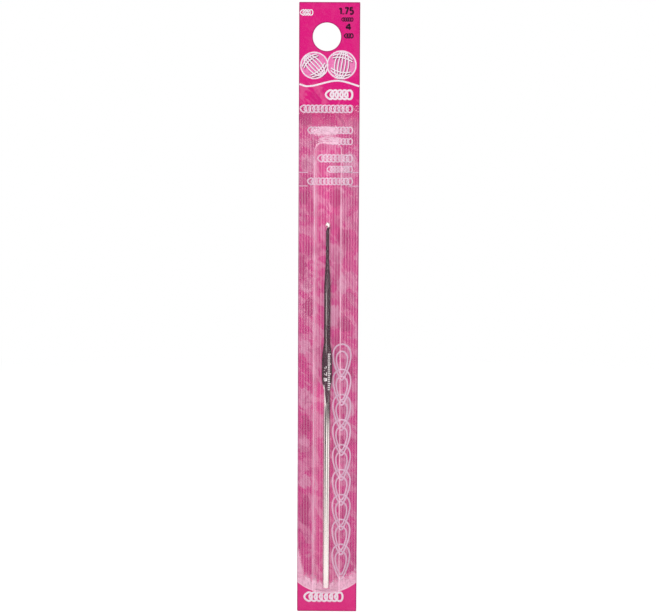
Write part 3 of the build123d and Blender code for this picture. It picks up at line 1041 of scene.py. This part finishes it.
def yarn_ball(order, thick, windings, strips, white, pale, shadow):
    """A disc of pale ink, the strands' shadow, the wound strands and a rim, from the card up."""
    x, z, radius = YARN_BALLS[order]
    face = card_low.y
    height = thick * (1 + order)
    disc = flat_shape("disc", [ring(x * MM, z * MM, radius * MM, radius * 0.96 * MM, 64)], height)
    disc.materials.append(pale)
    disc.transform(Matrix.Translation((0.0, face - height / 2, 0.0)))
    wound = drawn(
        windings, "wound", [], radius=radius * 0.92 * MM, strands=5, side_strands=2, strip_width=WOUND_WIDTH,
        ink_thickness=thick, material=white,
    )
    shade = wound.copy()
    shade.materials[0] = shadow
    for strands, rise, flat, drop in ((wound, 1.5, 1.0, 0.0), (shade, 1.15, 0.05, 0.32 * MM)):
        strands.transform(
            Matrix.Translation((x * MM + drop * 0.6, face - thick * (rise + order), z * MM - drop))
            @ Matrix.Rotation(math.radians(order * 52), 4, "Y")
            @ Matrix.Diagonal((1.0, flat, 0.96, 1.0))
        )
    outline = ring(x * MM, z * MM, radius * 0.93 * MM, radius * 0.89 * MM, 48)
    rim = ink_lines(strips, "ball_rim", [outline + outline[:1]], RIM_WIDTH, thick, white)
    rim.transform(Matrix.Translation((0.0, face - thick * (7.0 + order), 0.0)))
    return [disc, shade, wound, rim]


def strand_line():
    """Points of the strand, eased from turn to turn across the card."""
    left, right = card_low.x + 0.0001, card_high.x - 0.0001
    turns = ((left - 0.0008, -0.1), (-0.0066, -0.95), (0.0036, 0.95), (right + 0.003, -1.35))
    points = []
    for (start, low), (end, high) in zip(turns, turns[1:]):
        for step in range(STRAND_STEPS):
            share = step / STRAND_STEPS
            ease = share * share * (3 - 2 * share)
            x = start + (end - start) * share
            if left <= x <= right:
                points.append((x, STRAND_Z + (low + (high - low) * ease) * MM))
    return points


class MakeCard(bpy.types.Operator):
    """Cut the printed board with its hang hole"""

    bl_idname = "hook_card.board"
    bl_label = "Card"

    def execute(self, context):
        looks = context.scene.card_looks
        thickness = card_high.y - card_low.y
        outline = rounded_box(card_low, card_high, looks.corner_radius)
        radius = looks.hang_hole / 2
        mesh = flat_shape(
            "card_board", [outline, ring(0.0, 0.0, radius, radius, 96)[::-1]], thickness, looks.edge_radius
        )
        mesh.materials.append(printed_board(looks, context.scene.film_looks))
        finished("card_board", mesh, PACK, ("card",), 40)
        return {"FINISHED"}


class MakePrint(bpy.types.Operator):
    """Print the yarn balls, the strand, the rows of stitches and the size numbers on the card"""

    bl_idname = "hook_card.print"
    bl_label = "Print"

    def execute(self, context):
        looks = context.scene.card_looks
        thick = looks.ink_thickness
        white = ink("white ink", looks.white_ink, looks.petal)
        veiled = ink("veiled ink", looks.veiled_ink, looks.petal, 0.3)
        pale = ink("pale ink", looks.pale_ink, looks.petal, 0.25)
        shadow = ink("shadow ink", looks.shadow_ink, looks.shade)
        line = ink("line ink", looks.line_ink, looks.petal, 0.3)
        dark = ink("dark ink", looks.dark_ink, looks.shade)
        strips, stitches, windings = strip_tree(), stitch_tree(), winding_tree(WINDINGS)

        balls = []
        for order in range(len(YARN_BALLS)):
            balls += yarn_ball(order, thick, windings, strips, white, pale, shadow)
        finished("yarn_balls", joined("yarn_balls", balls), PACK)

        strand = ink_lines(strips, "strand", [strand_line()], STRAND_WIDTH, thick, white)
        rules = ink_lines(strips, "rules", RULES, RULE_WIDTH, thick, line)
        laid_on_card("strand_and_rules", [strand, rules], thick)

        rows = []
        for place in STITCH_ROWS:
            under_film = film_low.z < place[2] * MM < film_high.z
            share, colour = (0.19, veiled) if under_film else (0.2, white)
            rows.append(stitch_row(stitches, place, share, thick, colour))
        laid_on_card("stitch_rows", rows, thick)

        # Outlined chain up the right side, each stitch drawn as two lines
        chain = [
            drawn(
                stitches, "chain",
                [[(CHAIN_X * MM, (CHAIN_LOW - drop) * MM), (CHAIN_X * MM, (CHAIN_HIGH - drop) * MM)]],
                stitch_length=CHAIN_STITCH * length_share * MM, stitch_width=CHAIN_WIDTH * width_share * MM,
                stitch_step=(CHAIN_HIGH - CHAIN_LOW) / CHAIN_STEPS * STEP_SLACK * MM, pinch=pinch,
                strip_width=CHAIN_LINE_WIDTH, loop_points=64, ink_thickness=thick, material=line,
            )
            for length_share, width_share, drop, pinch in CHAIN_LINES
        ]
        laid_on_card("chain_outline", chain, thick)

        # Size numbers beside the hang hole, with short rows of dark stitches under them
        strokes = []
        for number, *place in SIZE_NUMBERS:
            strokes += figures(number, *(value * MM for value in place))
        sizes = [ink_lines(strips, "figures", strokes, NUMBER_WIDTH, thick, dark, 0.00015)]
        sizes += [stitch_row(stitches, place, 0.27, thick, dark) for place in DARK_ROWS]
        sizes.append(stitch_row(stitches, CORNER_ROW, 0.18, thick, white))
        laid_on_card("size_numbers", sizes, thick)
        return {"FINISHED"}


# The film's lower end: rows that follow its curved edge, and how far up they reach
BOWED_ROWS = 64
BOWED_REACH = 0.0065

# A crease in the left margin, near the bottom
FOLD_X, FOLD_WIDTH, FOLD_RISE = -0.0059, 0.00025, 0.00006
FOLD_LOW, FOLD_HIGH = -0.186, -0.164

# Ripples in the flat film and in the tunnel
FLAT_RIPPLE, TUNNEL_RIPPLE = 0.00003, 0.00005

# Spacing of the meshes across the card and up it
FILM_COLUMNS, FILM_ROWS = 0.0005, 0.0014
WELD_COLUMNS, WELD_ROWS = 0.0006, 0.0009


def tunnel_height(looks, x, z, inset, height):
    """How far the film stands above the seal at one place, inset from the tunnel's outer foot."""
    foot_top = film_high.z - looks.top_seal_length
    foot_bottom = film_low.z + looks.bottom_gap
    side, top, bottom = (
        (distance - inset / math.cos(lean)) / math.tan(lean)
        for distance, lean in (
            (looks.foot_half_width - abs(x - HOOK_X), looks.side_lean),
            (foot_top - z, looks.top_lean),
            (z - foot_bottom, looks.bottom_lean),
        )
    )
    walls = soft_min(soft_min(side, top, looks.corner / 2), bottom, looks.crease)
    return soft_min(walls, height, looks.crease * 2.5)


class MakeFilm(bpy.types.Operator):
    """Form the clear film with its raised tunnel over the hook"""

    bl_idname = "hook_card.film"
    bl_label = "Film cover"

    def execute(self, context):
        looks = context.scene.film_looks
        crest = looks.foot_half_width - looks.crest_height * math.tan(looks.side_lean)
        foot = looks.foot_half_width - looks.wall * math.tan(looks.side_lean)
        crowded = [HOOK_X + side * place for side in (-1, 1) for place in (crest, foot)]
        columns = spread(film_low.x, film_high.x, FILM_COLUMNS, *crowded)
        straight_end = film_low.z + BOWED_REACH
        foot_top = film_high.z - looks.top_seal_length
        crest_top = foot_top - looks.crest_height * math.tan(looks.top_lean)
        straight_rows = spread(straight_end, film_high.z, FILM_ROWS, foot_top - 0.0003, crest_top)

        def bowed(share):
            """A row between the film's curved bottom edge and its first straight row."""
            def height(x):
                edge = bow_height(looks, x, film_low.z)
                return edge + (straight_end - edge) * share
            return height

        rows = [bowed(step / BOWED_ROWS) for step in range(BOWED_ROWS)]
        rows += [level_row(z) for z in straight_rows]
        base = film_high.y

        def front(x, z):
            ripple = noise.noise(Vector((x * 260, 1.7, z * 60)))
            fold = math.exp(-(((x - FOLD_X) / FOLD_WIDTH) ** 2)) * (1 if FOLD_LOW < z < FOLD_HIGH else 0)
            height = tunnel_height(looks, x, z, 0.0, looks.crest_height)
            flange = looks.wall + (ripple * FLAT_RIPPLE + fold * FOLD_RISE)
            lift = ripple * TUNNEL_RIPPLE if height > looks.wall * 2 else 0.0
            return base - soft_max(flange, height - abs(lift), looks.crease)

        def back(x, z):
            height = tunnel_height(looks, x, z, looks.wall, looks.crest_height - looks.wall)
            return base - max(soft_max(0.0, height, looks.crease * 0.6), 0.0)

        mesh = shell("film", columns, rows, front, back)
        mesh.materials.append(clear_film(looks))
        finished("film", mesh, PACK, ("film_cover",), 35)
        return {"FINISHED"}


# Each weld's back stays this far off the print, and its face is wrinkled this deep
WELD_GAP = 0.00002
WELD_WRINKLE = 0.000012

# How white the welds are across the ends and down the sides
END_WHITENED, SIDE_WHITENED = 0.07, 0.015


class MakeSeals(bpy.types.Operator):
    """Weld the film to the card all round the tunnel"""

    bl_idname = "hook_card.seals"
    bl_label = "Heat seals"

    def execute(self, context):
        looks = context.scene.film_looks
        clouded = heat_seal(looks, "clouded seal", END_WHITENED)
        clear = heat_seal(looks, "clear seal", SIDE_WHITENED)
        for name, (low, high) in SEAL_BOXES.items():
            mesh = bottom_weld(looks, low, high) if name == "bottom_seal" else weld_strip(name, low, high)
            mesh.materials.append(clouded if name in ("top_seal", "bottom_seal") else clear)
            finished(f"{name}_weld", mesh, PACK, (name,), 35)
        return {"FINISHED"}


def weld_strip(name, low, high):
    """A strip of weld with a faintly wrinkled face."""

    def front(x, z):
        return low.y + WELD_WRINKLE * (1 + noise.noise(Vector((x * 700, 0.3, z * 500))))

    def back(x, z):
        return high.y - WELD_GAP

    rows = [level_row(z) for z in spread(low.z, high.z, WELD_ROWS)]
    return shell(name, spread(low.x, high.x, WELD_COLUMNS), rows, front, back)


def bottom_weld(looks, low, high):
    """The lower seal: a curved foot with an arm up each side of the tunnel."""
    tunnel = looks.foot_half_width - looks.wall / math.cos(looks.side_lean)
    tunnel_bottom = film_low.z + looks.bottom_gap + looks.wall / math.cos(looks.bottom_lean)
    left, right = HOOK_X - tunnel, HOOK_X + tunnel
    outline = [(x, bow_height(looks, x, low.z)) for x in spread(low.x, high.x, FILM_COLUMNS)]
    outline += [(high.x, high.z), (right, high.z), (right, tunnel_bottom), (left, tunnel_bottom),
                (left, high.z), (low.x, high.z)]
    back = high.y - WELD_GAP
    mesh = flat_shape("bottom_seal", [outline], back - low.y)
    mesh.transform(Matrix.Translation((0.0, (low.y + back) / 2, 0.0)))
    return mesh


# Steps between stations: in the thumb rest, near the head, and elsewhere
THUMB_STEP, HEAD_STEP, PLAIN_STEP = 0.00035, 0.0012, 0.006
NEAR_HEAD = 0.03


def wire_profile(sizes, length_of_hook):
    """Stations down the hook, each with the radius of the round wire there."""
    head, neck = sizes.head_diameter / 2, sizes.neck_diameter / 2
    shaft, handle = sizes.shaft_diameter / 2, sizes.handle_diameter / 2
    blend = (sizes.head_end - sizes.nose_length) / 2

    def bezier(a, b, c, d, steps):
        for step in range(steps):
            t = step / steps
            weights = ((1 - t) ** 3, 3 * t * (1 - t) ** 2, 3 * t * t * (1 - t), t**3)
            yield tuple(sum(w * p[i] for w, p in zip(weights, (a, b, c, d))) for i in (0, 1))

    profile = list(bezier(
        (0.0, 0.0), (0.0, sizes.nose_flat), (sizes.nose_shoulder, head), (sizes.nose_length, head), 22
    ))[1:]
    profile += bezier(
        (sizes.nose_length, head), (sizes.nose_length + blend, head), (sizes.head_end - blend, neck),
        (sizes.head_end, neck), 30,
    )
    corners = (
        (sizes.head_end, neck), (sizes.neck_end, neck), (sizes.shaft_start, shaft),
        (sizes.thumb_start, shaft), (sizes.flat_start - sizes.flat_run_out_top, shaft),
        (sizes.thumb_wide_start, shaft), (sizes.thumb_wide_end, handle),
        (sizes.flat_end + sizes.flat_run_out_bottom, handle),
        (length_of_hook - sizes.handle_end_radius, handle),
    )
    for (start, first), (end, last) in zip(corners, corners[1:]):
        thumb = start >= sizes.thumb_start and end <= sizes.flat_end + sizes.flat_run_out_bottom
        step = THUMB_STEP if thumb else HEAD_STEP if end < NEAR_HEAD else PLAIN_STEP
        count = max(1, round((end - start) / step))
        profile += [
            (start + (end - start) * i / count, first + (last - first) * i / count) for i in range(count)
        ]
    for step in range(9):
        angle = math.radians(90 * step / 8)
        profile.append((
            length_of_hook - sizes.handle_end_radius * (1 - math.sin(angle)),
            handle - sizes.handle_end_radius * (1 - math.cos(angle)),
        ))
    return profile


def spread_half_width(sizes, station):
    """Half the width of the pressed metal at a station, or nothing outside the thumb rest."""
    inside = 0.0002
    wide = sizes.thumb_width / 2
    if sizes.thumb_start <= station <= sizes.thumb_wide_start:
        root = sizes.shaft_diameter / 2 - inside
        share = (station - sizes.thumb_start) / (sizes.thumb_wide_start - sizes.thumb_start)
    elif sizes.thumb_wide_end <= station <= sizes.thumb_end:
        root = sizes.handle_diameter / 2 - inside
        share = (sizes.thumb_end - station) / (sizes.thumb_end - sizes.thumb_wide_end)
    elif sizes.thumb_wide_start < station < sizes.thumb_wide_end:
        return wide
    else:
        return 0.0
    t = solve_ease(share)
    return root + (wide - root) * (3 * t * t - 2 * t**3)


def solve_ease(share):
    """The curve's own parameter where it has covered this share of its length."""
    low, high = 0.0, 1.0
    for _ in range(40):
        t = (low + high) / 2
        along = 1.5 * t * (1 - t) ** 2 + 1.5 * t * t * (1 - t) + t**3
        low, high = (t, high) if along < share else (low, t)
    return low


def flat_depth(sizes, station):
    """How far the pressed flat lies from the axis at a station."""
    flat, clear = sizes.thumb_thickness / 2, sizes.handle_diameter
    if sizes.flat_start <= station <= sizes.flat_end:
        return flat
    rise = sizes.handle_diameter / 2 - flat
    if station < sizes.flat_start:
        share = (sizes.flat_start - station) / sizes.flat_run_out_top
    else:
        share = (station - sizes.flat_end) / sizes.flat_run_out_bottom
    return flat + rise * share if share <= 1 else clear


def section_radius(sizes, station, wire, angle):
    """Distance from the axis to the surface, in one direction round the hook."""
    across, forward = abs(math.cos(angle)), abs(math.sin(angle))
    depth = flat_depth(sizes, station)
    reach = min(wire, depth / forward if forward > 1e-9 else wire)
    half_width = spread_half_width(sizes, station)
    if half_width <= 0:
        return reach
    half, edge = sizes.thumb_thickness / 2, sizes.thumb_edge_radius
    straight = min(half_width / max(across, 1e-9), half / max(forward, 1e-9))
    corner_x, corner_y = half_width - edge, half - edge
    along = across * corner_x + forward * corner_y
    inside = along * along - (corner_x**2 + corner_y**2 - edge**2)
    if inside > 0:
        rounded = along + math.sqrt(inside)
        if rounded * across > corner_x and rounded * forward > corner_y:
            straight = rounded
    return max(reach, straight)


class MakeHook(bpy.types.Operator):
    """Draw the steel hook and cut its throat"""

    bl_idname = "hook_card.hook"
    bl_label = "Hook"

    def execute(self, context):
        sizes = context.scene.hook_sizes
        axis = Vector((HOOK_X, HOOK_Y, hook_high.z))
        total = hook_high.z - hook_low.z
        maker = bmesh.new()
        rings = []
        for station, wire in wire_profile(sizes, total):
            rings.append([])
            for side in range(sizes.sides):
                angle = 2 * math.pi * side / sizes.sides
                radius = section_radius(sizes, station, wire, angle)
                rings[-1].append(maker.verts.new((
                    axis.x + radius * math.cos(angle), axis.y + radius * math.sin(angle), axis.z - station
                )))
        for upper, lower in zip(rings, rings[1:]):
            for side in range(sizes.sides):
                after = (side + 1) % sizes.sides
                maker.faces.new((upper[side], lower[side], lower[after], upper[after]))
        tip = maker.verts.new((axis.x, axis.y, axis.z))
        end = maker.verts.new((axis.x, axis.y, axis.z - total))
        for side in range(sizes.sides):
            after = (side + 1) % sizes.sides
            maker.faces.new((tip, rings[0][side], rings[0][after]))
            maker.faces.new((end, rings[-1][after], rings[-1][side]))
        bmesh.ops.recalc_face_normals(maker, faces=maker.faces)

        wire_object = new_object("hook_wire", mesh_of(maker, "hook_wire"))
        cutter = new_object("throat_cutter", throat_cutter(sizes, axis))
        cut = wire_object.modifiers.new("Throat", "BOOLEAN")
        cut.operation = "DIFFERENCE"
        cut.object = cutter
        cut.solver = "EXACT"
        mesh = evaluated_mesh(wire_object, "steel_hook")
        bpy.data.objects.remove(cutter)
        mesh.materials.clear()
        mesh.materials.append(plated_steel(sizes, axis))
        finished("steel_hook", mesh, HOOK, ("hook",), 28)
        return {"FINISHED"}


def throat_cutter(sizes, axis):
    """A wedge with a round root, through the hook from front to back."""
    root = sizes.throat_width / 2
    root_x = sizes.throat_depth - root - sizes.head_diameter / 2
    reach = 2 * sizes.head_diameter
    barb, floor = sizes.barb_lean, sizes.floor_lean
    barb_side = (root_x - root * math.cos(barb), root * math.sin(barb) - sizes.throat_root)
    floor_side = (root_x + root * math.cos(floor), -root * math.sin(floor) - sizes.throat_root)
    start, sweep = -floor, math.pi - barb + floor
    outline = [
        (root_x + root * math.cos(start + sweep * i / 16),
         -sizes.throat_root + root * math.sin(start + sweep * i / 16))
        for i in range(17)
    ]
    outline += [
        (barb_side[0] - reach * math.sin(barb), barb_side[1] - reach * math.cos(barb)),
        (floor_side[0] - reach * math.sin(floor), floor_side[1] - reach * math.cos(floor)),
    ]
    maker = bmesh.new()
    front, back = (
        [maker.verts.new((axis.x + x, axis.y + half, axis.z + z)) for x, z in outline]
        for half in (-sizes.head_diameter, sizes.head_diameter)
    )
    maker.faces.new(front)
    maker.faces.new(back[::-1])
    for i in range(len(outline)):
        after = (i + 1) % len(outline)
        maker.faces.new((front[i], back[i], back[after], front[after]))
    bmesh.ops.recalc_face_normals(maker, faces=maker.faces)
    return mesh_of(maker, "throat_cutter")


# Gauge ticks down the thumb rest: how many, the first one's station and their step, in millimetres
TICKS, TICKS_START, TICK_PITCH = 19, 45.3, 0.68
TICK_X, TICK_LENGTH, LONG_TICK_LENGTH = 0.3, 0.7, 0.95
# The number beside them: station of its top, its length down the hook and its height, in metres
NUMBER_START, NUMBER_LENGTH, NUMBER_HEIGHT = 0.0495, 0.0052, 0.00084
NUMBER_X = -0.0001
TICK_WIDTH, STAMP_WIDTH = 0.00036, 0.00032
MARK_DEPTH = 0.00001


class MakeStamps(bpy.types.Operator):
    """Stamp plain numbers and gauge ticks into the thumb rest"""

    bl_idname = "hook_card.stamps"
    bl_label = "Stamped marks"

    def execute(self, context):
        sizes = context.scene.hook_sizes
        steel = stamped_metal(sizes)
        strips = strip_tree()
        ticks = []
        for index in range(TICKS):
            tall = TICK_LENGTH if index % 5 else LONG_TICK_LENGTH
            x = HOOK_X + TICK_X * MM
            z = hook_high.z - (TICKS_START + index * TICK_PITCH) * MM
            ticks.append([(x, z), (x + tall * MM, z)])
        # The number reads down the thumb rest, on its left half
        down = [
            [(HOOK_X + NUMBER_X + up - NUMBER_HEIGHT, hook_high.z - NUMBER_START - across)
             for across, up in stroke]
            for stroke in figures("1.75", 0.0, 0.0, NUMBER_LENGTH, NUMBER_HEIGHT)
        ]
        whole = joined("stamped_marks", [
            ink_lines(strips, name, lines, width, MARK_DEPTH, steel)
            for name, lines, width in (("ticks", ticks, TICK_WIDTH), ("number", down, STAMP_WIDTH))
        ])
        for vertex in whole.vertices:
            flat = flat_depth(sizes, hook_high.z - vertex.co.z)
            vertex.co.y += HOOK_Y - flat - MARK_DEPTH / 2
        finished("stamped_marks", whole, HOOK)
        return {"FINISHED"}


# Each lamp's place from the camera's target, and its width and height
LAMPS = {
    "key": ((-0.14, -0.8, 0.3), 0.5, 0.5), "fill": ((0.2, -0.8, -0.2), 0.5, 0.6),
    "rear": ((0.2, 0.8, 0.4), 0.6, 0.6),
}
CLIP_START, CLIP_END = 0.01, 20.0
# The floor: how bright it glows when seen, and where it turns into the white background, in millimetres
FLOOR_GLOW = 0.5
FLOOR_NEAR, FLOOR_FAR = 250.0, 700.0
FLOOR_COLOUR = (0.92, 0.92, 0.92, 1.0)
WHITE = (1.0, 1.0, 1.0, 1.0)


class SetStage(bpy.types.Operator):
    """Set the floor, the surroundings, the lamps and the camera"""

    bl_idname = "hook_card.stage"
    bl_label = "Stage"

    def execute(self, context):
        sizes = context.scene.stage_sizes
        level = card_low.z - sizes.floor_gap
        half = sizes.floor_half_width
        maker = bmesh.new()
        corners = ((-half, -half), (half, -half), (half, half), (-half, half))
        maker.faces.new([maker.verts.new((x, y, level)) for x, y in corners])
        floor = new_object("floor", mesh_of(maker, "floor"))
        floor.data.materials.append(floor_material())

        world = bpy.data.worlds.new("surroundings")
        world.use_nodes = True
        world.node_tree.nodes.clear()
        tree = Tree(world.node_tree)
        seen = seen_directly(tree)
        colour = tree.mix(seen, (sizes.ambient,) * 3, (1.0, 1.0, 1.0))
        light = tree.add("ShaderNodeBackground", None, {"Color": colour, "Strength": 1.0})
        tree.add("ShaderNodeOutputWorld", None, {"Surface": light})
        context.scene.world = world

        centre = Vector(sizes.target)
        for name, (offset, width, height) in LAMPS.items():
            lamp = bpy.data.lights.new(name, "AREA")
            lamp.shape = "RECTANGLE"
            lamp.size, lamp.size_y = width, height
            lamp.energy = getattr(sizes, f"{name}_power")
            holder = new_object(name, lamp)
            holder.location = centre + Vector(offset)
            holder.rotation_euler = (-Vector(offset)).to_track_quat("-Z", "Y").to_euler()

        back = Vector((
            math.sin(sizes.azimuth) * math.cos(sizes.elevation),
            -math.cos(sizes.azimuth) * math.cos(sizes.elevation),
            math.sin(sizes.elevation),
        ))
        lens = bpy.data.cameras.new("camera")
        lens.lens = sizes.lens
        lens.clip_start, lens.clip_end = CLIP_START, CLIP_END
        camera = new_object("camera", lens)
        camera.location = centre + back * sizes.distance
        aim = (-back).to_track_quat("-Z", "Y").to_matrix().to_4x4()
        camera.rotation_euler = (aim @ Matrix.Rotation(sizes.roll, 4, "Z")).to_euler()
        context.scene.camera = camera
        context.scene.view_settings.view_transform = "Standard"
        return {"FINISHED"}


def seen_directly(tree):
    """1 for rays that show the background: straight from the camera, mirrored or through glass."""
    path = tree.add("ShaderNodeLightPath")
    return larger(larger(path["Is Camera Ray"], path["Is Glossy Ray"]), path["Is Transmission Ray"])


def floor_material():
    """Pale floor that shows white, with the shadow of what stands on it."""
    material, tree = new_material("floor")
    _, x, y, _ = tree.millimetres()
    plain = tree.add("ShaderNodeBsdfDiffuse", None, {"Color": FLOOR_COLOUR, "Roughness": 1.0})
    glow = tree.add("ShaderNodeEmission", None, {"Color": WHITE, "Strength": FLOOR_GLOW})
    far = tree.smooth((x * x + y * y).math("SQRT"), FLOOR_NEAR, FLOOR_FAR)
    white = tree.add("ShaderNodeEmission", None, {"Color": WHITE, "Strength": 1.0})
    lifted = tree.add("ShaderNodeAddShader", None, {0: plain, 1: glow})
    near = tree.add("ShaderNodeMixShader", None, {0: far, 1: lifted, 2: white})
    seen = seen_directly(tree)
    surface(tree, tree.add("ShaderNodeMixShader", None, {0: seen, 1: plain, 2: near}))
    return material


class HOOKCARD_PT_build(bpy.types.Panel):
    """Lists the pieces in the order they are made."""

    bl_label = "Carded crochet hook"
    bl_space_type = "VIEW_3D"
    bl_region_type = "UI"
    bl_category = "Hook card"

    def draw(self, context):
        for maker in MAKERS:
            self.layout.operator(maker.bl_idname)
        for name in LOOKS:
            box = self.layout.box()
            group = getattr(context.scene, name)
            for prop in group.bl_rna.properties:
                if prop.identifier not in ("rna_type", "name"):
                    box.prop(group, prop.identifier)


MAKERS = (MakeCard, MakePrint, MakeSeals, MakeFilm, MakeHook, MakeStamps, SetStage)
LOOKS = {
    "hook_sizes": HookSizes, "card_looks": CardLooks, "film_looks": FilmLooks, "stage_sizes": StageSizes,
}


def register():
    for one in (*LOOKS.values(), *MAKERS, HOOKCARD_PT_build):
        bpy.utils.register_class(one)
    for name, group in LOOKS.items():
        setattr(bpy.types.Scene, name, PointerProperty(type=group))


def unregister():
    for name in LOOKS:
        delattr(bpy.types.Scene, name)
    for one in reversed((*LOOKS.values(), *MAKERS, HOOKCARD_PT_build)):
        bpy.utils.unregister_class(one)


def main():
    register()
    for maker in MAKERS:
        group, action = maker.bl_idname.split(".")
        getattr(getattr(bpy.ops, group), action)()


if __name__ == "__main__":
    main()
